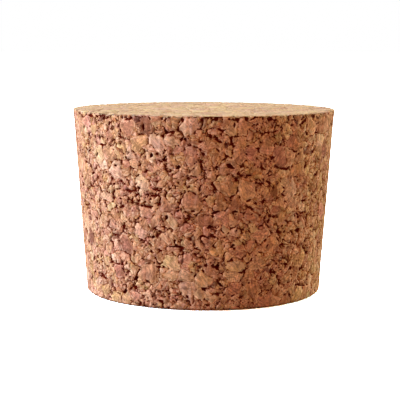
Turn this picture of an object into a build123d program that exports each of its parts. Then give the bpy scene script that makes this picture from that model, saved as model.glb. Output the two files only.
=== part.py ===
from build123d import *
import math
import os
import random

# Tapered stopper of agglomerated cork: granules glued and pressed into one block, ground to a cone.
# Lengths are in millimetres. The origin is the centre of the lower face, and +Z is the stopper's axis.
# The front faces -Y. A turn is a share of a full turn, counted from the front towards +X.

# Ground body
TOP_DIAMETER = 50.0
BOTTOM_DIAMETER = 45.0
HEIGHT = 35.0
TOP_EDGE_BREAK = 0.2
BOTTOM_EDGE_BREAK = 0.5

# Voids: angular pockets in the ground surface, where granules don't meet or one has come away
VOID_LENGTH = 1.6
VOID_WIDTH = 0.8
VOID_DEPTH = 0.7
VOID_SPACING = 2.4
VOID_CORNERS = 4
VOID_FLOOR_SHARE = 0.6
VOID_JITTER_SHARE = 0.3
EDGE_CLEARANCE = 0.3
CUT_OVERRUN = 0.3

# Scattered voids: how many places are tried, and their smallest, largest and commonest size
SIDE_TRY_COUNT = 400
UPPER_TRY_COUNT = 90
LOWER_TRY_COUNT = 75
SCATTER_SIZE_SHARES = (0.35, 1.3, 0.6)
SCATTER_SEED = 11

# The front's largest voids. Each row: turn, share of the height, shares of their usual length and width,
# and the slope of the long way, as a share of a full turn up from the horizontal
FRONT_VOID_LENGTH = 2.0
FRONT_VOID_WIDTH = 1.0
FRONT_VOID_SHARES = (
    (0.031, 0.746, 1.35, 1.20, -0.08),
    (-0.062, 0.795, 0.75, 1.00, 0.20),
    (0.131, 0.393, 1.20, 1.25, 0.02),
    (-0.090, 0.151, 1.00, 1.20, 0.10),
    (-0.139, 0.872, 1.10, 0.60, 0.24),
    (-0.071, 0.936, 1.00, 0.65, 0.25),
    (-0.044, 0.925, 1.30, 0.60, -0.21),
    (0.085, 0.945, 1.15, 0.70, 0.25),
    (-0.030, 0.741, 0.70, 0.95, 0.05),
    (0.136, 0.897, 0.60, 0.85, 0.15),
    (-0.080, 0.627, 0.65, 0.90, -0.10),
    (-0.108, 0.075, 1.10, 1.00, 0.08),
    (-0.033, 0.333, 2.40, 0.60, 0.01),
    (0.035, 0.338, 0.90, 0.80, 0.05),
    (-0.072, 0.144, 0.85, 0.90, -0.12),
    (0.007, 0.438, 0.90, 1.00, 0.09),
    (-0.045, 0.481, 0.80, 0.90, 0.22),
    (0.014, 0.512, 1.20, 0.65, 0.03),
    (0.037, 0.516, 0.95, 0.60, -0.04),
    (0.081, 0.457, 0.75, 0.95, 0.16),
    (0.053, 0.698, 1.10, 0.60, 0.01),
    (0.021, 0.138, 1.10, 0.85, -0.11),
    (0.155, 0.263, 0.70, 0.80, 0.05),
    (-0.046, 0.787, 0.75, 0.70, 0.21),
)

# A flake lost from the left, wide and shallow
FLAKE_PLACE_SHARES = (-0.243, 0.215)
FLAKE_WIDTH = 2.2
FLAKE_HEIGHT = 3.2
FLAKE_DEPTH = 0.28

TOP_RADIUS = TOP_DIAMETER / 2
BOTTOM_RADIUS = BOTTOM_DIAMETER / 2
TAPER = math.atan2(TOP_RADIUS - BOTTOM_RADIUS, HEIGHT)
SCATTER_REACH = VOID_LENGTH * SCATTER_SIZE_SHARES[1] / 2 + EDGE_CLEARANCE


def ground_body():
    """The cone, with its upper edge just broken and its lower edge worn back further."""
    cone = Cone(BOTTOM_RADIUS, TOP_RADIUS, HEIGHT, align=(Align.CENTER, Align.CENTER, Align.MIN))
    lower_rim = cone.edges().filter_by(GeomType.CIRCLE).sort_by(Axis.Z)[0]
    cone = chamfer(lower_rim, BOTTOM_EDGE_BREAK)
    upper_rim = cone.edges().filter_by(GeomType.CIRCLE).sort_by(Axis.Z)[-1]
    return chamfer(upper_rim, TOP_EDGE_BREAK)


def side_radius(rise):
    """The cone's radius at a share of the height."""
    return BOTTOM_RADIUS + (TOP_RADIUS - BOTTOM_RADIUS) * rise


def side_plane(turn, rise):
    """A plane on the cone that faces outwards, with its Y up the side."""
    angle = math.tau * turn
    radius = side_radius(rise)
    origin = (radius * math.sin(angle), -radius * math.cos(angle), HEIGHT * rise)
    outward = (
        math.cos(TAPER) * math.sin(angle),
        -math.cos(TAPER) * math.cos(angle),
        -math.sin(TAPER),
    )
    return Plane(origin, x_dir=(math.cos(angle), math.sin(angle), 0), z_dir=outward)


def pocket(plane, length, width, depth, slope, draw):
    """An angular pocket that narrows inwards from the plane to a flat floor."""
    outline = []
    for corner in range(VOID_CORNERS):
        angle = math.tau * (corner + draw.uniform(-VOID_JITTER_SHARE, VOID_JITTER_SHARE)) / VOID_CORNERS
        reach = 1 - draw.uniform(0, VOID_JITTER_SHARE)
        across = Vector(length / 2 * reach * math.cos(angle), width / 2 * reach * math.sin(angle))
        outline.append(across.rotate(Axis.Z, math.degrees(math.tau * slope)))

    def ring(level):
        scale = 1 + (1 - VOID_FLOOR_SHARE) * level / depth
        return [plane.from_local_coords(Vector(p.X * scale, p.Y * scale, level)) for p in outline]

    mouth = ring(CUT_OVERRUN)
    floor = ring(-depth)
    walls = [
        Face(Wire.make_polygon([mouth[i - 1], mouth[i], floor[i], floor[i - 1]]))
        for i in range(VOID_CORNERS)
    ]
    ends = [Face(Wire.make_polygon(mouth)), Face(Wire.make_polygon(floor))]
    return Solid(Shell(walls + ends))


def scattered_pocket(plane, draw):
    """A void of a size of its own, turned any way."""
    size, narrowness, depth = (draw.triangular(*SCATTER_SIZE_SHARES) for _ in range(3))
    return pocket(
        plane, VOID_LENGTH * size, VOID_WIDTH * narrowness, VOID_DEPTH * depth, draw.random(), draw
    )


def front_pockets(draw):
    """The front's largest voids and the lost flake."""
    tools = [
        pocket(
            side_plane(turn, rise),
            FRONT_VOID_LENGTH * long,
            FRONT_VOID_WIDTH * wide,
            VOID_DEPTH,
            slope,
            draw,
        )
        for turn, rise, long, wide, slope in FRONT_VOID_SHARES
    ]
    flake = pocket(side_plane(*FLAKE_PLACE_SHARES), FLAKE_WIDTH, FLAKE_HEIGHT, FLAKE_DEPTH, 0, draw)
    return tools + [flake]


def scattered_side_pockets(draw):
    """Voids all round the side, at least a spacing apart and clear of both edges."""
    lowest = (BOTTOM_EDGE_BREAK + SCATTER_REACH) / HEIGHT
    highest = 1 - (TOP_EDGE_BREAK + SCATTER_REACH) / HEIGHT
    taken = [row[:2] for row in FRONT_VOID_SHARES] + [FLAKE_PLACE_SHARES]
    tools = []
    for _ in range(SIDE_TRY_COUNT):
        turn = draw.random()
        rise = draw.uniform(lowest, highest)
        round_the_side = math.tau * side_radius(rise)
        gaps = [
            math.hypot(round_the_side * math.remainder(turn - other, 1), HEIGHT * (rise - level))
            for other, level in taken
        ]
        if min(gaps) > VOID_SPACING:
            taken.append((turn, rise))
            tools.append(scattered_pocket(side_plane(turn, rise), draw))
    return tools


def scattered_face_pockets(tries, radius, height, up, draw):
    """Voids over the upper or the lower face, a spacing apart and clear of its edge and centre."""
    taken = [Vector(0, 0, height)]
    tools = []
    for _ in range(tries):
        angle = math.tau * draw.random()
        out = (radius - SCATTER_REACH) * math.sqrt(draw.random())
        place = Vector(out * math.sin(angle), -out * math.cos(angle), height)
        if min((place - other).length for other in taken) > VOID_SPACING:
            taken.append(place)
            tools.append(scattered_pocket(Plane(place, z_dir=(0, 0, up)), draw))
    return tools


def stopper():
    """The ground body with its open voids, one piece."""
    draw = random.Random(SCATTER_SEED)
    tools = front_pockets(draw)
    tools += scattered_side_pockets(draw)
    tools += scattered_face_pockets(UPPER_TRY_COUNT, TOP_RADIUS - TOP_EDGE_BREAK, HEIGHT, 1, draw)
    tools += scattered_face_pockets(LOWER_TRY_COUNT, BOTTOM_RADIUS - BOTTOM_EDGE_BREAK, 0, -1, draw)
    return ground_body().cut(*tools)


os.makedirs("parts", exist_ok=True)
export_step(stopper(), "parts/stopper_body.step")
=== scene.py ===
import math

import bpy
import numpy as np
from mathutils import Euler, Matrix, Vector


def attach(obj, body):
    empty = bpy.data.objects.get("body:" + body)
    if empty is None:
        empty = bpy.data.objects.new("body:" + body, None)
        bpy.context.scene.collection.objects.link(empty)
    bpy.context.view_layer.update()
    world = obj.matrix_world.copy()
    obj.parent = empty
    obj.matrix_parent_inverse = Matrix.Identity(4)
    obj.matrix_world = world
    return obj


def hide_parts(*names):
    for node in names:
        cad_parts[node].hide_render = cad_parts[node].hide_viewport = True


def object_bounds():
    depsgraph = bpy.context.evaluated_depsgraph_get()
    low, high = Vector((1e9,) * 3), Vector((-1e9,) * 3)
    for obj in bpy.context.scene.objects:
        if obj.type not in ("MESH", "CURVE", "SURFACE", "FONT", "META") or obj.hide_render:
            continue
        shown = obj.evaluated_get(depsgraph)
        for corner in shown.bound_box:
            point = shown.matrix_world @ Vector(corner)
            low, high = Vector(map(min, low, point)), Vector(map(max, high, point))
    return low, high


# Tapered stopper of agglomerated cork. The frame gives the body with its voids, and the mesh adds granules.
# Blender lengths are in metres. Names that end in MM hold millimetres, which the cork's fields use.
# Levels are values of noise, from 0 to 1. Colours are red, green and blue of 255. Each granule has chances
# from 0 to 1 of its own. A pick times a chance leaves a fraction, which is one more chance.

METRES_PER_MM = 0.001
MM_PER_METRE = 1000.0

# Ground body: the part's own size, with edges a little sharper than its breaks
TOP_RADIUS_MM = 25.0
BOTTOM_RADIUS_MM = 22.5
HEIGHT_MM = 35.0
TOP_EDGE_BREAK_MM = 0.06
BOTTOM_EDGE_RADIUS_MM = 0.45
TAPER = math.atan2(TOP_RADIUS_MM - BOTTOM_RADIUS_MM, HEIGHT_MM)

# Fine mesh that the relief is cut into, and the triangles kept of it
FIRST_RING_POINTS = 6
FACE_RINGS = 200
RING_POINTS = FIRST_RING_POINTS * FACE_RINGS
WALL_ROWS = 268
EDGE_ROWS = 8
BREAK_ROWS = 2
KEPT_TRIANGLES = 190000

# Detail of the noises, and the levels that most of a noise lies between
LOW_DETAIL = 1.0
DETAIL = 2.0
HIGH_DETAIL = 3.0
PLAIN_ROUGHNESS = 0.5
GRAIN_ROUGHNESS = 0.6
MIDDLE_LEVELS = (0.5, 0.5, 0.5)
GRAIN_LEVELS = (0.25, 0.75)

# Granules: the mesh sizes of three sieves, and the shares of the two larger sizes that stay whole
SIEVES_MM = (2.7, 1.6, 0.85)
WHOLE_SHARES = (0.36, 0.52)
ZONE_MM = 8.0
ZONE_SHARE = 0.9
FAR_MM = 9.0

# Outlines of the granules: bent, frayed and chipped
BEND_MM = 2.2
BEND_REACH_MM = 0.65
FRAY_MM = 0.4
FRAY_REACH_MM = 0.08
CHIP_MM = 0.7
CHIP_REACH_MM = 0.09

# Cracks, which open where granules meet at a corner, below the upper rim, and here and there along an edge
OPEN_MM = 0.7
OPEN_LEVELS = (0.46, 0.68)
CORNER_SHARES = (0.5, 0.9)
CRACK_HALVES_MM = (0.418, 0.33, 0.22)
RIFT_MM = 1.2
RIFT_LEVELS = (0.56, 0.68)
RIFT_HALF_MM = 0.055
RIM_MM = 0.5
RIM_TO_MM = 1.5
RIM_HALF_MM = 0.45
CRACK_SOFT_MM = 0.035
CRACK_DEPTH_MM = 0.25

# Worn places along the upper rim
WORN_RUN_MM = 1.1
WORN_LEVELS = (0.44, 0.66)
WORN_MM = 0.8
WORN_DEPTH_MM = 0.42

# Pores: small holes, most of them beside the edges
PORE_MM = 0.55
PORE_NONE_SHARE = 0.18
PORE_RADIUS_MM = 0.18
PORE_LEAST_MM = 0.05
PORE_SOFT_MM = 0.02
PORE_DEPTH_MM = 0.2
PORE_EDGE_MM = 0.35
PORE_INSIDE_SHARE = 0.5
PORE_FRAY_MM = 0.3
PORE_FRAY_REACH_MM = 0.14

# Relief of the granules themselves: a step from one to the next, and a fall towards an open edge
STEP_MM = 0.03
FALL_MM = 0.16
FALL_DEPTH_MM = 0.02

# Rays that measure the CAD body's voids
CAST_LIFT_MM = 0.1
CAST_REACH_MM = 3.0
CAST_SLACK_MM = 0.03

# Flat sheet that the surface is laid out on: three sectors of the wall in a row, the two faces below them.
# The lower face ends at a share of its edge's radius above the floor
SHEET_MM = 110.0
SHEET_GAP_MM = 1.2
WALL_SECTORS = 3
FOOT_SHARE = 0.25

# Colours of the granules, roughly from dark to pale, and the share of granules that come before each one
GRANULE_SHARES = (0.0, 0.05, 0.12, 0.28, 0.44, 0.58, 0.72, 0.86, 0.97)
GRANULE_COLOURS = (
    (116, 66, 52),
    (162, 101, 74),
    (172, 109, 83),
    (181, 118, 91),
    (179, 120, 87),
    (185, 124, 95),
    (183, 126, 90),
    (188, 132, 100),
    (195, 144, 110),
)

# Hue, which drifts from rosy to olive over the cork and from granule to granule
DRIFT_MM = 3.0
DRIFT_LEVELS = (0.35, 0.65)
HUE_PICK = 5.7
OWN_HUE_SHARE = 0.6
ROSY_SHARES = (1.04, 0.96, 1.07)
OLIVE_SHARES = (0.99, 1.04, 0.74)

# Grain: torn fibres, mottling, speckles, facets and flecks, and how far each one lightens or darkens
PULL_SHARE = 0.75
FIBRE_MM = 0.3
FIBRE_SHARE = 0.34
MOTTLE_MM = 0.6
MOTTLE_SHARE = 0.1
SPECKLE_MM = 0.25
SPECKLE_SHARE = 0.21
FACET_SHARE = 0.18
FLECK_MM = 0.36
FLECK_SHARE = 0.29
LIGHT_SHARE = 0.07

# Growth layers, seen as stripes in some granules
LAYER_MM = 0.5
LAYER_SHARE = 0.16
LAYERED_SHARE = 0.3
LAYER_PICK = 7.3

# Painted highlights: pale lips beside the cracks
LIP_FROM_MM = 0.05
LIP_MM = 0.14
LIP_TO_MM = 0.3
LIP_LEVELS = (0.3, 0.7)
LIP_HIGHLIGHT_SHARE = 0.5
LIP_HIGHLIGHT_COLOUR = (226, 176, 138)

# Brown along the seams, which are dark joints between granules, and painted shade along the falls
SEAM_MM = 0.17
SEAM_LEVELS = (0.35, 0.6)
SEAM_RUN_MM = 1.8
SEAM_RUN_LEVELS = (0.4, 0.6)
SEAM_SHARE = 0.7
FALL_SHADE_SHARE = 0.68
BROWN_SHARES = (0.54, 0.28, 0.08)

# Cut faces above and below, painted paler and more even than the wall: a painted sheen of grazing light,
# which also lightens the painted shade of their gaps
FACE_FROM_MM = 0.12
FACE_TO_MM = 0.02
FACE_PAINTED_SHEEN_SHARE = 0.42
FACE_SHEEN_GAP_SHARE = 0.75
FACE_ROSY_SHEEN_COLOUR = (207, 166, 146)
FACE_STRAW_SHEEN_COLOUR = (242, 216, 160)

# Painted shade in the cracks, pores and voids
VOID_FROM_MM = 0.04
VOID_TO_MM = 0.2
CRACK_DARK_MM = 0.05
GAP_SHADE_SHARE = 0.98
GAP_SHADE_COLOUR = (78, 6, 0)

# Surface of the cork: matte, with a faint warm sheen and a fine bump
ROUGH_LEVELS = (0.2, 0.8)
ROUGH_LOW = 0.7
ROUGH_HIGH = 0.95
SPECULAR = 0.0
SHEEN = 0.05
SHEEN_ROUGH = 0.4
SHEEN_TINT = (1.0, 0.85, 0.6, 1.0)
BUMP_STRENGTH = 0.5
CRACK_BUMP_MM = 0.15
PORE_BUMP_MM = 0.15
FALL_BUMP_MM = 0.03
SPECKLE_BUMP_MM = 0.05
FIBRE_BUMP_MM = 0.05
FACET_BUMP_MM = 0.03

# From a colour of 255 to linear light
COLOUR_TOP = 255
TOE_SHARE = 0.04045
TOE_SLOPE = 12.92
CURVE_OFFSET = 0.055
CURVE_POWER = 2.4

# Stage: a white floor that keeps the shadow round the stopper's foot, and white all round
FLOOR_HALF = 3.0
FLOOR_DROP = 0.00002
FLOOR_BOUNCE = 0.3
FLOOR_SEEN = 5.0
WHITE_FROM = 0.024
WHITE_TO = 0.045
AMBIENT = (0.04, 0.06, 0.04, 1.0)
WHITE = (1.0, 1.0, 1.0, 1.0)

# Soft lamps, aimed at the stopper's middle: name, place, width and height, and red, green and blue watts
LAMP_AIM = (0.0, 0.0, 0.0175)
LAMPS = (
    ("key", (-0.38, -0.28, 0.20), (0.30, 0.30), (1.03, 0.82, 0.87)),
    ("left", (-0.46, 0.01, 0.13), (0.40, 0.40), (5.05, 7.3, 9.9)),
    ("top", (0.00, 0.08, 0.46), (0.40, 0.40), (0.9, 0.76, 0.56)),
    ("back", (0.02, 0.46, 0.24), (0.40, 0.30), (0.4, 0.4, 0.4)),
    ("fill", (0.28, -0.40, 0.12), (0.40, 0.30), (1.1, 0.64, 0.28)),
    ("rim", (0.40, 0.24, 0.12), (0.20, 0.30), (2.4, 3.3, 3.1)),
)

# Camera, a little above the upper face
CAMERA_PLACE = (-0.00066, -0.2583, 0.04939)
CAMERA_DOWN_DEGREES = 7.1
CAMERA_ROLL_DEGREES = 0.25
LENS_MM = 121.0
SENSOR_MM = 36.0

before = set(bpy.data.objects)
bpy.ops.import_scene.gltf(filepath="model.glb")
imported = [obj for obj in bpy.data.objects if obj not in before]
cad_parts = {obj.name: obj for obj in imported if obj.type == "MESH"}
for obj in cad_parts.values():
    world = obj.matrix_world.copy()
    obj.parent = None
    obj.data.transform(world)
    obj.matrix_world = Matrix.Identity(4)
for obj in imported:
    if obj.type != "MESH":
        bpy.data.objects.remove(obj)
cad_low, cad_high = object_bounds()
cad_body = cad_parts["stopper_body"]


# Base mesh


def profile_points():
    """Radius and height along the outline, from the lower face's edge to the upper face's edge."""
    inset = BOTTOM_EDGE_RADIUS_MM / math.tan(math.pi / 4 + TAPER / 2)
    points = []
    for row in range(EDGE_ROWS + 1):
        angle = -math.pi / 2 + (math.pi / 2 - TAPER) * row / EDGE_ROWS
        radius = BOTTOM_RADIUS_MM - inset + BOTTOM_EDGE_RADIUS_MM * math.cos(angle)
        points.append((radius, BOTTOM_EDGE_RADIUS_MM * (1 + math.sin(angle))))
    shoulder = (
        TOP_RADIUS_MM - TOP_EDGE_BREAK_MM * math.sin(TAPER),
        HEIGHT_MM - TOP_EDGE_BREAK_MM * math.cos(TAPER),
    )
    rim = (TOP_RADIUS_MM - TOP_EDGE_BREAK_MM, HEIGHT_MM)
    for corner, rows in ((shoulder, WALL_ROWS), (rim, BREAK_ROWS)):
        start = points[-1]
        for row in range(1, rows + 1):
            share = row / rows
            points.append(tuple(a + (b - a) * share for a, b in zip(start, corner)))
    return points


def ring(radius, height, count):
    """Evenly spaced points round the axis."""
    angle = np.arange(count) * math.tau / count
    return np.stack([radius * np.cos(angle), radius * np.sin(angle), np.full(count, height)], axis=1)


def face_triangles(first, last_ring):
    """Triangles of a disc of rings with 6, 12, 18 points and so on, the outermost given."""
    sectors = np.arange(FIRST_RING_POINTS)
    made = []
    inner = np.array([first])
    start = first + 1
    for k in range(FACE_RINGS):
        count = FIRST_RING_POINTS * (k + 1)
        outer = last_ring if k == FACE_RINGS - 1 else np.arange(start, start + count)
        start += count
        sector = np.repeat(sectors, k + 1)
        step = np.tile(np.arange(k + 1), FIRST_RING_POINTS)
        a = inner[(sector * k + step) % len(inner)]
        b = outer[(sector * (k + 1) + step) % count]
        c = outer[(sector * (k + 1) + step + 1) % count]
        made.append(np.stack([a, b, c], axis=1))
        if k > 0:
            sector = np.repeat(sectors, k)
            step = np.tile(np.arange(k), FIRST_RING_POINTS)
            a = inner[(sector * k + step) % len(inner)]
            b = outer[(sector * (k + 1) + step + 1) % count]
            c = inner[(sector * k + step + 1) % len(inner)]
            made.append(np.stack([a, b, c], axis=1))
        inner = outer
    return np.concatenate(made)


def base_mesh():
    """The ground body as a fine closed mesh, without granules."""
    profile = profile_points()
    rows = len(profile)
    points = [ring(radius, height, RING_POINTS) for radius, height in profile]
    index = np.arange(rows * RING_POINTS).reshape(rows, RING_POINTS)
    right = np.roll(index, -1, axis=1)
    a, b, c, d = (part.ravel() for part in (index[:-1], right[:-1], right[1:], index[1:]))
    triangles = [np.stack([a, b, c], axis=1), np.stack([a, c, d], axis=1)]
    first = rows * RING_POINTS
    for (radius, height), edge, flip in ((profile[-1], index[-1], False), (profile[0], index[0], True)):
        face = [np.array([[0.0, 0.0, height]])]
        for k in range(1, FACE_RINGS):
            face.append(ring(radius * k / FACE_RINGS, height, FIRST_RING_POINTS * k))
        made = face_triangles(first, edge)
        triangles.append(made[:, ::-1] if flip else made)
        points += face
        first += sum(len(part) for part in face)
    points = np.concatenate(points) * METRES_PER_MM
    triangles = np.concatenate(triangles)
    mesh = bpy.data.meshes.new("ground_body")
    mesh.vertices.add(len(points))
    mesh.vertices.foreach_set("co", points.astype(np.float32).ravel())
    mesh.loops.add(triangles.size)
    mesh.loops.foreach_set("vertex_index", triangles.astype(np.int32).ravel())
    mesh.polygons.add(len(triangles))
    mesh.polygons.foreach_set("loop_start", np.arange(0, triangles.size, 3, dtype=np.int32))
    mesh.update(calc_edges=True)
    mesh.validate()
    mesh.shade_smooth()
    return mesh


# Node graphs


class Graph:
    """Adds nodes to a tree. Each input is a socket or a plain value."""

    def __init__(self, tree):
        self.tree = tree

    def node(self, kind, **settings):
        made = self.tree.nodes.new(kind)
        for name, value in settings.items():
            setattr(made, name, value)
        return made

    def feed(self, socket, value):
        if isinstance(value, bpy.types.NodeSocket):
            self.tree.links.new(value, socket)
        else:
            socket.default_value = value

    def math(self, operation, *values):
        made = self.node("ShaderNodeMath", operation=operation)
        for socket, value in zip(made.inputs, values):
            self.feed(socket, value)
        return made.outputs[0]

    def add(self, a, b):
        return self.math("ADD", a, b)

    def take(self, a, b):
        return self.math("SUBTRACT", a, b)

    def times(self, a, b):
        return self.math("MULTIPLY", a, b)

    def greater(self, a, b):
        return self.math("MAXIMUM", a, b)

    def vector(self, operation, *values):
        made = self.node("ShaderNodeVectorMath", operation=operation)
        for socket, value in zip(made.inputs, values):
            self.feed(socket, value)
        return made.outputs["Value"] if operation in ("DOT_PRODUCT", "LENGTH") else made.outputs["Vector"]

    def scale(self, vector, factor):
        made = self.node("ShaderNodeVectorMath", operation="SCALE")
        self.feed(made.inputs[0], vector)
        self.feed(made.inputs["Scale"], factor)
        return made.outputs["Vector"]

    def parts(self, vector):
        made = self.node("ShaderNodeSeparateXYZ")
        self.feed(made.inputs[0], vector)
        return made.outputs

    def noise_node(self, place, size, detail=0.0, roughness=PLAIN_ROUGHNESS):
        made = self.node("ShaderNodeTexNoise")
        self.feed(made.inputs["Vector"], place)
        made.inputs["Scale"].default_value = 1 / size
        made.inputs["Detail"].default_value = detail
        made.inputs["Roughness"].default_value = roughness
        return made

    def noise(self, *settings):
        return self.noise_node(*settings).outputs[0]

    def voronoi(self, place, size, feature="F1"):
        made = self.node("ShaderNodeTexVoronoi", feature=feature)
        self.feed(made.inputs["Vector"], place)
        made.inputs["Scale"].default_value = 1 / size
        return made

    def span(self, value, low, high, to_low=0.0, to_high=1.0, smooth=True):
        made = self.node("ShaderNodeMapRange", interpolation_type="SMOOTHSTEP" if smooth else "LINEAR")
        for socket, given in zip(made.inputs, (value, low, high, to_low, to_high)):
            self.feed(socket, given)
        return made.outputs[0]

    def mix(self, share, a, b, kind="VECTOR"):
        made = self.node("ShaderNodeMix", data_type=kind)
        wanted = "VALUE" if kind == "FLOAT" else kind
        first, second = (s for s in made.inputs if s.enabled and s.type == wanted and s.name in ("A", "B"))
        factor = next(s for s in made.inputs if s.enabled and s.name == "Factor")
        self.feed(factor, share)
        self.feed(first, a)
        self.feed(second, b)
        return next(s for s in made.outputs if s.enabled)


# Fields of the cork, which cut the mesh and colour it


def sway(g, place, size, reach, detail=0.0):
    """The place, moved about by noise."""
    drift = g.vector("SUBTRACT", g.noise_node(place, size, detail).outputs["Color"], MIDDLE_LEVELS)
    return g.vector("ADD", place, g.scale(drift, 2 * reach))


def crumble(g, cells):
    """Each granule's three chances, and for each sieve a one where all larger granules crumbled."""
    chance = cells[0].outputs["Color"]
    split = 1.0
    splits = [split]
    for cell, finer, whole in zip(cells, cells[1:], WHOLE_SHARES):
        zone = g.noise(cell.outputs["Position"], ZONE_MM)
        whole_here = g.span(zone, 0.0, 1.0, whole - ZONE_SHARE / 2, whole + ZONE_SHARE / 2, smooth=False)
        broken = g.math("GREATER_THAN", g.parts(cell.outputs["Color"])[2], whole_here)
        split = g.times(split, broken)
        splits.append(split)
        chance = g.mix(split, chance, finer.outputs["Color"])
    return chance, splits


def rim_distance(g, place):
    """How far a place is from the upper rim."""
    across, deep, high = g.parts(place)
    out = g.math("SQRT", g.add(g.times(across, across), g.times(deep, deep)))
    offset = g.node("ShaderNodeCombineXYZ")
    g.feed(offset.inputs[0], g.take(out, TOP_RADIUS_MM))
    g.feed(offset.inputs[1], g.take(high, HEIGHT_MM))
    return g.vector("LENGTH", offset.outputs[0])


def pores(g, place, edge):
    """One in a pore and zero outside. A pore is wider beside a granule's edge."""
    pore = g.voronoi(sway(g, place, PORE_FRAY_MM, PORE_FRAY_REACH_MM), PORE_MM)
    chance = g.parts(pore.outputs["Color"])[0]
    radius = g.span(chance, PORE_NONE_SHARE, 1.0, 0.0, PORE_RADIUS_MM, smooth=False)
    radius = g.times(radius, g.span(edge, 0.0, PORE_EDGE_MM, 1.0, PORE_INSIDE_SHARE))
    inside = g.take(radius, g.times(pore.outputs["Distance"], PORE_MM))
    hole = g.span(inside, -PORE_SOFT_MM, PORE_SOFT_MM)
    return g.times(hole, g.math("GREATER_THAN", radius, PORE_LEAST_MM))


def granule_fields(g, place):
    """Which granule a place is in, how far its edge and the nearest crack are, and what is open or worn."""
    bent = sway(g, place, BEND_MM, BEND_REACH_MM)
    frayed = sway(g, bent, FRAY_MM, FRAY_REACH_MM, DETAIL)
    chip = g.voronoi(frayed, CHIP_MM).outputs["Color"]
    torn = g.vector("ADD", frayed, g.scale(g.vector("SUBTRACT", chip, MIDDLE_LEVELS), 2 * CHIP_REACH_MM))
    cells = [g.voronoi(torn, size) for size in SIEVES_MM]
    edges = [
        g.times(g.voronoi(torn, size, "DISTANCE_TO_EDGE").outputs["Distance"], size)
        for size in SIEVES_MM
    ]
    chance, splits = crumble(g, cells)

    openness = g.span(g.noise(place, OPEN_MM, DETAIL), *OPEN_LEVELS, smooth=False)
    rift = g.span(g.noise(place, RIFT_MM, DETAIL), *RIFT_LEVELS, 0.0, RIFT_HALF_MM)
    from_rim = rim_distance(g, place)
    rim = g.times(g.span(from_rim, 0.0, RIM_MM), g.span(from_rim, RIM_MM, RIM_TO_MM, RIM_HALF_MM, 0.0))
    edge = FAR_MM
    margin = FAR_MM
    for cell, near, half, here in zip(cells, edges, CRACK_HALVES_MM, splits):
        near = g.add(near, g.times(g.take(1.0, here), FAR_MM))
        corner = g.span(cell.outputs["Distance"], *CORNER_SHARES, 0.0, half)
        width = g.add(g.times(g.greater(corner, rim), openness), rift)
        margin = g.math("MINIMUM", margin, g.take(near, width))
        edge = g.math("MINIMUM", edge, near)
    worn = g.span(g.noise(place, WORN_RUN_MM, DETAIL), *WORN_LEVELS)
    return {
        "bent": bent,
        "facet": g.parts(chip)[0],
        "chance": chance,
        "edge": edge,
        "margin": margin,
        "fall": g.times(g.span(margin, 0.0, FALL_MM, 1.0, 0.0), g.span(openness, 0.0, 1.0)),
        "crack": g.span(margin, -CRACK_SOFT_MM, 0.0, 1.0, 0.0),
        "pore": pores(g, place, edge),
        "worn": g.times(worn, g.span(from_rim, 0.0, WORN_MM, 1.0, 0.0)),
    }


# Relief


def void_depth(g, position, normal):
    """How deep the CAD body's voids are below a place on the ground surface."""
    solid = g.node("GeometryNodeObjectInfo", transform_space="ORIGINAL")
    solid.inputs["Object"].default_value = cad_body
    cast = g.node("GeometryNodeRaycast")
    start = g.vector("ADD", position, g.scale(normal, CAST_LIFT_MM * METRES_PER_MM))
    g.feed(cast.inputs["Target Geometry"], solid.outputs["Geometry"])
    g.feed(cast.inputs["Source Position"], start)
    g.feed(cast.inputs["Ray Direction"], g.scale(normal, -1.0))
    cast.inputs["Ray Length"].default_value = CAST_REACH_MM * METRES_PER_MM
    hit = g.take(g.times(cast.outputs["Hit Distance"], MM_PER_METRE), CAST_LIFT_MM + CAST_SLACK_MM)
    return g.times(cast.outputs["Is Hit"], g.greater(hit, 0.0))


def store(g, geometry, kind, name, value):
    """Keeps a value at each point of the mesh, for the material to read."""
    made = g.node("GeometryNodeStoreNamedAttribute", data_type=kind, domain="POINT")
    g.feed(made.inputs["Geometry"], geometry)
    made.inputs["Name"].default_value = name
    g.feed(made.inputs["Value"], value)
    return made.outputs[0]


def relief_tree():
    """Geometry nodes that cut the granules, with cracks and pores, and the part's voids into the mesh."""
    tree = bpy.data.node_groups.new("cork_relief", "GeometryNodeTree")
    tree.interface.new_socket("Geometry", in_out="INPUT", socket_type="NodeSocketGeometry")
    tree.interface.new_socket("Geometry", in_out="OUTPUT", socket_type="NodeSocketGeometry")
    g = Graph(tree)
    start = g.node("NodeGroupInput").outputs[0]
    position = g.node("GeometryNodeInputPosition").outputs[0]
    normal = g.node("GeometryNodeInputNormal").outputs[0]
    place = g.scale(position, MM_PER_METRE)
    fields = granule_fields(g, place)
    void = void_depth(g, position, normal)

    depth = g.times(g.parts(fields["chance"])[1], STEP_MM)
    depth = g.add(depth, g.times(fields["fall"], FALL_DEPTH_MM))
    depth = g.add(depth, g.times(fields["crack"], CRACK_DEPTH_MM))
    depth = g.greater(depth, g.times(fields["pore"], PORE_DEPTH_MM))
    depth = g.greater(depth, void)
    depth = g.greater(depth, g.times(fields["worn"], WORN_DEPTH_MM))

    kept = store(g, start, "FLOAT_VECTOR", "ground_place", place)
    kept = store(g, kept, "FLOAT", "void_depth", void)
    move = g.node("GeometryNodeSetPosition")
    g.feed(move.inputs["Geometry"], kept)
    g.feed(move.inputs["Offset"], g.scale(normal, g.times(depth, -METRES_PER_MM)))
    end = g.node("NodeGroupOutput")
    g.feed(end.inputs[0], move.outputs[0])
    return tree


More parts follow.
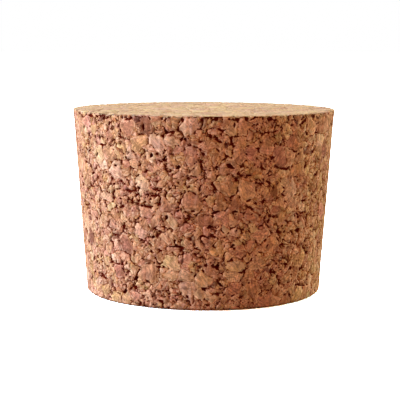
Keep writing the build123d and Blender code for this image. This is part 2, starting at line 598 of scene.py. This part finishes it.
def cork_mesh():
    """The base mesh with its relief, thinned to the triangles kept."""
    rough = bpy.data.objects.new("rough_body", base_mesh())
    bpy.context.scene.collection.objects.link(rough)
    relief = rough.modifiers.new("relief", "NODES")
    relief.node_group = relief_tree()
    thin = rough.modifiers.new("thin", "DECIMATE")
    thin.ratio = KEPT_TRIANGLES / len(rough.data.polygons)
    thin.use_collapse_triangulate = True
    graph = bpy.context.evaluated_depsgraph_get()
    mesh = bpy.data.meshes.new_from_object(rough.evaluated_get(graph), depsgraph=graph)
    bpy.data.objects.remove(rough)
    mesh.name = "stopper"
    return mesh


def lay_out(mesh):
    """The surface's own layout on a flat sheet, with no overlaps, for finishes that are painted on."""
    count = len(mesh.vertices)
    place = np.zeros(count * 3, np.float32)
    mesh.attributes["ground_place"].data.foreach_get("vector", place)
    corners = np.zeros(len(mesh.loops), np.int32)
    mesh.loops.foreach_get("vertex_index", corners)
    spot = place.reshape(count, 3)[corners.reshape(-1, 3)]

    # Which face or sector each triangle is in
    middle = spot.mean(axis=1)
    high = middle[:, 2] > HEIGHT_MM - TOP_EDGE_BREAK_MM / 2
    upper = high & (np.hypot(middle[:, 0], middle[:, 1]) < TOP_RADIUS_MM - TOP_EDGE_BREAK_MM / 2)
    lower = middle[:, 2] < BOTTOM_EDGE_RADIUS_MM * FOOT_SHARE
    turn = np.arctan2(middle[:, 1], middle[:, 0]) / math.tau % 1
    sector = np.minimum((turn * WALL_SECTORS).astype(int), WALL_SECTORS - 1)[:, None]

    # The wall unrolled, with its height along the sheet, and the faces flat below it
    angle = np.arctan2(spot[:, :, 1], spot[:, :, 0]) / math.tau
    from_middle = (angle - (sector + 0.5) / WALL_SECTORS + 0.5) % 1 - 0.5
    across = math.tau * TOP_RADIUS_MM * (from_middle + 0.5 / WALL_SECTORS)
    wall_high = HEIGHT_MM / math.cos(TAPER)
    wall_u = SHEET_GAP_MM + sector * (wall_high + SHEET_GAP_MM) + spot[:, :, 2] / math.cos(TAPER)
    wall_v = 2 * SHEET_GAP_MM + 2 * TOP_RADIUS_MM + across
    sheet = np.stack([wall_u, wall_v], axis=-1)
    upper_at = SHEET_GAP_MM + TOP_RADIUS_MM
    lower_at = 2 * SHEET_GAP_MM + 2 * TOP_RADIUS_MM + BOTTOM_RADIUS_MM
    for chosen, at in ((upper, upper_at), (lower, lower_at)):
        sheet[chosen, :, 0] = at + spot[chosen, :, 0]
        sheet[chosen, :, 1] = upper_at + spot[chosen, :, 1]
    layer = mesh.uv_layers.new(name="OFBake")
    layer.data.foreach_set("uv", (sheet / SHEET_MM).astype(np.float32).ravel())


def keep_in_box(mesh):
    """Holds every point inside the CAD body's box."""
    points = np.zeros(len(mesh.vertices) * 3, np.float32)
    mesh.vertices.foreach_get("co", points)
    points = np.clip(points.reshape(-1, 3), np.array(cad_low), np.array(cad_high))
    mesh.vertices.foreach_set("co", points.astype(np.float32).ravel())
    mesh.update()


# Cork


def linear(colour):
    """A colour of 255 in linear light."""
    shares = [value / COLOUR_TOP for value in colour]
    return tuple(
        share / TOE_SLOPE
        if share <= TOE_SHARE
        else ((share + CURVE_OFFSET) / (1 + CURVE_OFFSET)) ** CURVE_POWER
        for share in shares
    )


def palette(g, chance):
    """The colour of a granule, by its chance."""
    ramp = g.node("ShaderNodeValToRGB")
    stops = ramp.color_ramp.elements
    for stop, row in ((stops[0], 0), (stops[1], -1)):
        stop.position = GRANULE_SHARES[row]
        stop.color = (*linear(GRANULE_COLOURS[row]), 1.0)
    for share, colour in zip(GRANULE_SHARES[1:-1], GRANULE_COLOURS[1:-1]):
        stop = stops.new(share)
        stop.color = (*linear(colour), 1.0)
    g.feed(ramp.inputs[0], chance)
    return ramp.outputs["Color"]


def grain(g, place, fields):
    """Fibres, which run one way in each granule, with mottling, speckles and flecks."""
    way = g.vector("NORMALIZE", g.vector("SUBTRACT", fields["chance"], MIDDLE_LEVELS))
    along = g.vector("DOT_PRODUCT", fields["bent"], way)
    pulled = g.vector("SUBTRACT", fields["bent"], g.scale(way, g.times(along, PULL_SHARE)))
    return {
        "along": along,
        "fibre": g.noise(pulled, FIBRE_MM, DETAIL, GRAIN_ROUGHNESS),
        "mottle": g.noise(place, MOTTLE_MM, HIGH_DETAIL, GRAIN_ROUGHNESS),
        "speckle": g.noise(place, SPECKLE_MM, LOW_DETAIL, GRAIN_ROUGHNESS),
        "fleck": g.parts(g.voronoi(pulled, FLECK_MM).outputs["Color"])[0],
    }


def lightness(g, chance, fields, grains):
    """How light a place is for its granule's colour, by its grain and growth layers."""
    light = 1.0
    for value, low, high, share in (
        (chance[1], 0.0, 1.0, LIGHT_SHARE),
        (grains["fibre"], *GRAIN_LEVELS, FIBRE_SHARE),
        (grains["mottle"], *GRAIN_LEVELS, MOTTLE_SHARE),
        (grains["speckle"], *GRAIN_LEVELS, SPECKLE_SHARE),
        (fields["facet"], 0.0, 1.0, FACET_SHARE),
        (grains["fleck"], 0.0, 1.0, FLECK_SHARE),
    ):
        light = g.times(light, g.span(value, low, high, 1 - share, 1 + share, smooth=False))
    layers = g.math("SINE", g.times(grains["along"], math.tau / LAYER_MM))
    pick = g.math("FRACT", g.times(g.add(chance[0], chance[1]), LAYER_PICK))
    layered = g.math("GREATER_THAN", pick, 1 - LAYERED_SHARE)
    return g.times(light, g.add(1.0, g.times(g.times(layers, layered), LAYER_SHARE)))


def cork_colour(g, place, fields, grains):
    """The granules' colours, with painted highlights on their lips, dark seams, painted shade on their
    falls, painted sheen on the cut faces, and painted shade in what is open.
    """
    chance = g.parts(fields["chance"])
    margin = fields["margin"]
    own = g.math("FRACT", g.times(chance[1], HUE_PICK))
    drift = g.span(g.noise(place, DRIFT_MM, DETAIL), *DRIFT_LEVELS)
    drift = g.mix(OWN_HUE_SHARE, drift, own, kind="FLOAT")
    colour = g.vector("MULTIPLY", palette(g, chance[0]), g.mix(drift, ROSY_SHARES, OLIVE_SHARES))
    colour = g.scale(colour, lightness(g, chance, fields, grains))

    # Painted highlights: pale lips beside the cracks
    lip_highlight = g.times(g.span(margin, LIP_FROM_MM, LIP_MM), g.span(margin, LIP_MM, LIP_TO_MM, 1.0, 0.0))
    lip_highlight = g.times(lip_highlight, g.span(fields["facet"], *LIP_LEVELS))
    colour = g.mix(g.times(lip_highlight, LIP_HIGHLIGHT_SHARE), colour, linear(LIP_HIGHLIGHT_COLOUR))

    # Dark brown along the seams, and painted shade where a granule falls away to an open edge
    seam = g.times(g.span(fields["edge"], 0.0, SEAM_MM, 1.0, 0.0), g.span(grains["mottle"], *SEAM_LEVELS))
    seam = g.times(seam, g.span(g.noise(place, SEAM_RUN_MM, LOW_DETAIL), *SEAM_RUN_LEVELS))
    seam_and_fall_shade = g.greater(g.times(seam, SEAM_SHARE), g.times(fields["fall"], FALL_SHADE_SHARE))
    colour = g.mix(seam_and_fall_shade, colour, g.vector("MULTIPLY", colour, BROWN_SHARES))

    # Painted sheen on the cut faces, paler and more even than the wall, which shows on the worn rim too
    high = g.parts(place)[2]
    upper = g.span(high, HEIGHT_MM - FACE_FROM_MM, HEIGHT_MM - FACE_TO_MM)
    upper = g.greater(upper, fields["worn"])
    lower = g.span(high, FACE_TO_MM, FACE_FROM_MM, 1.0, 0.0)
    face = g.times(g.greater(upper, lower), FACE_PAINTED_SHEEN_SHARE)
    colour = g.mix(face, colour, g.mix(drift, linear(FACE_ROSY_SHEEN_COLOUR), linear(FACE_STRAW_SHEEN_COLOUR)))

    # Painted shade in the cracks, pores and voids, lightened on the cut faces under their painted sheen
    depth = g.node("ShaderNodeAttribute", attribute_name="void_depth").outputs["Fac"]
    void = g.span(depth, VOID_FROM_MM, VOID_TO_MM)
    wide = g.span(margin, -CRACK_DARK_MM, 0.0, 1.0, 0.0)
    shaded_gap = g.greater(wide, g.greater(fields["pore"], void))
    shade = g.times(g.times(shaded_gap, GAP_SHADE_SHARE), g.take(1.0, g.times(face, FACE_SHEEN_GAP_SHARE)))
    return g.mix(shade, colour, linear(GAP_SHADE_COLOUR))


def cork_bump(g, fields, grains):
    """The normal, with the cracks, pores and grain that are finer than the mesh."""
    height = 0.0
    for field, rise in (
        (fields["crack"], -CRACK_BUMP_MM),
        (fields["pore"], -PORE_BUMP_MM),
        (grains["speckle"], SPECKLE_BUMP_MM),
        (grains["fibre"], FIBRE_BUMP_MM),
        (fields["facet"], FACET_BUMP_MM),
        (fields["fall"], -FALL_BUMP_MM),
    ):
        height = g.add(height, g.times(field, rise))
    bump = g.node("ShaderNodeBump")
    bump.inputs["Strength"].default_value = BUMP_STRENGTH
    bump.inputs["Distance"].default_value = METRES_PER_MM
    g.feed(bump.inputs["Height"], height)
    return bump.outputs["Normal"]


def cork_material():
    """Cork, coloured and roughened by the same fields that cut the mesh."""
    material = bpy.data.materials.new("cork")
    material.use_nodes = True
    g = Graph(material.node_tree)
    shader = material.node_tree.nodes["Principled BSDF"]
    place = g.node("ShaderNodeAttribute", attribute_name="ground_place").outputs["Vector"]
    fields = granule_fields(g, place)
    grains = grain(g, place, fields)
    rough = g.span(grains["speckle"], *ROUGH_LEVELS, ROUGH_LOW, ROUGH_HIGH, smooth=False)
    g.feed(shader.inputs["Base Color"], cork_colour(g, place, fields, grains))
    g.feed(shader.inputs["Roughness"], rough)
    g.feed(shader.inputs["Normal"], cork_bump(g, fields, grains))
    shader.inputs["Specular IOR Level"].default_value = SPECULAR
    shader.inputs["Sheen Weight"].default_value = SHEEN
    shader.inputs["Sheen Roughness"].default_value = SHEEN_ROUGH
    shader.inputs["Sheen Tint"].default_value = SHEEN_TINT
    return material


# Stage


def seen_directly(g):
    """One for the camera and for reflections and refractions of what it sees, and zero for other light."""
    path = g.node("ShaderNodeLightPath")
    seen = g.greater(path.outputs["Is Camera Ray"], path.outputs["Is Glossy Ray"])
    return g.greater(seen, path.outputs["Is Transmission Ray"])


def stage_floor():
    """A white floor, with the stopper's shadow round its foot."""
    mesh = bpy.data.meshes.new("floor")
    corners = ((-1, -1), (1, -1), (1, 1), (-1, 1))
    points = [(x * FLOOR_HALF, y * FLOOR_HALF, -FLOOR_DROP) for x, y in corners]
    mesh.from_pydata(points, [], [range(len(points))])
    floor = bpy.data.objects.new("floor", mesh)
    bpy.context.scene.collection.objects.link(floor)
    material = bpy.data.materials.new("floor_white")
    material.use_nodes = True
    material.node_tree.nodes.clear()
    g = Graph(material.node_tree)
    seen = seen_directly(g)
    away = g.vector("LENGTH", g.node("ShaderNodeNewGeometry").outputs["Position"])
    level = g.mix(seen, FLOOR_BOUNCE, FLOOR_SEEN, kind="FLOAT")
    grey = g.node("ShaderNodeCombineColor")
    for socket in grey.inputs:
        g.feed(socket, level)
    matte = g.node("ShaderNodeBsdfDiffuse")
    g.feed(matte.inputs["Color"], grey.outputs[0])
    glow = g.node("ShaderNodeEmission")
    g.feed(glow.inputs["Strength"], g.times(seen, g.span(away, WHITE_FROM, WHITE_TO)))
    both = g.node("ShaderNodeAddShader")
    g.feed(both.inputs[0], matte.outputs[0])
    g.feed(both.inputs[1], glow.outputs[0])
    out = g.node("ShaderNodeOutputMaterial")
    g.feed(out.inputs["Surface"], both.outputs[0])
    mesh.materials.append(material)
    return floor


def stage_sky():
    """White to the camera, and a low even light on the stopper."""
    world = bpy.data.worlds.new("studio")
    bpy.context.scene.world = world
    world.use_nodes = True
    world.node_tree.nodes.clear()
    g = Graph(world.node_tree)
    sky = g.node("ShaderNodeBackground")
    g.feed(sky.inputs["Color"], g.mix(seen_directly(g), AMBIENT, WHITE, kind="RGBA"))
    out = g.node("ShaderNodeOutputWorld")
    g.feed(out.inputs["Surface"], sky.outputs[0])


def lamp(name, place, size, watts):
    """A soft lamp. Its colour holds its power, so the energy stays at one."""
    data = bpy.data.lights.new(name, "AREA")
    data.shape = "RECTANGLE"
    data.size, data.size_y = size
    data.energy = 1.0
    data.color = watts
    made = bpy.data.objects.new(name, data)
    made.location = place
    made.rotation_euler = (Vector(LAMP_AIM) - Vector(place)).to_track_quat("-Z", "Y").to_euler()
    bpy.context.scene.collection.objects.link(made)


def stage_camera():
    """The camera at the photograph's viewing angle."""
    data = bpy.data.cameras.new("camera")
    data.sensor_width = SENSOR_MM
    data.lens = LENS_MM
    camera = bpy.data.objects.new("camera", data)
    camera.location = CAMERA_PLACE
    tilt = Euler((math.pi / 2 - math.radians(CAMERA_DOWN_DEGREES), 0.0, 0.0)).to_quaternion()
    roll = Euler((0.0, 0.0, math.radians(CAMERA_ROLL_DEGREES))).to_quaternion()
    camera.rotation_mode = "QUATERNION"
    camera.rotation_quaternion = tilt @ roll
    bpy.context.scene.collection.objects.link(camera)
    bpy.context.scene.camera = camera


mesh = cork_mesh()
lay_out(mesh)
keep_in_box(mesh)
mesh.shade_smooth()
mesh.materials.clear()
mesh.materials.append(cork_material())
stopper = bpy.data.objects.new("stopper", mesh)
bpy.context.scene.collection.objects.link(stopper)
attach(stopper, "root")
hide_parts("stopper_body")

stage_floor()
stage_sky()
for name, place, size, watts in LAMPS:
    lamp(name, place, size, watts)
stage_camera()
bpy.context.scene.view_settings.view_transform = "Standard"
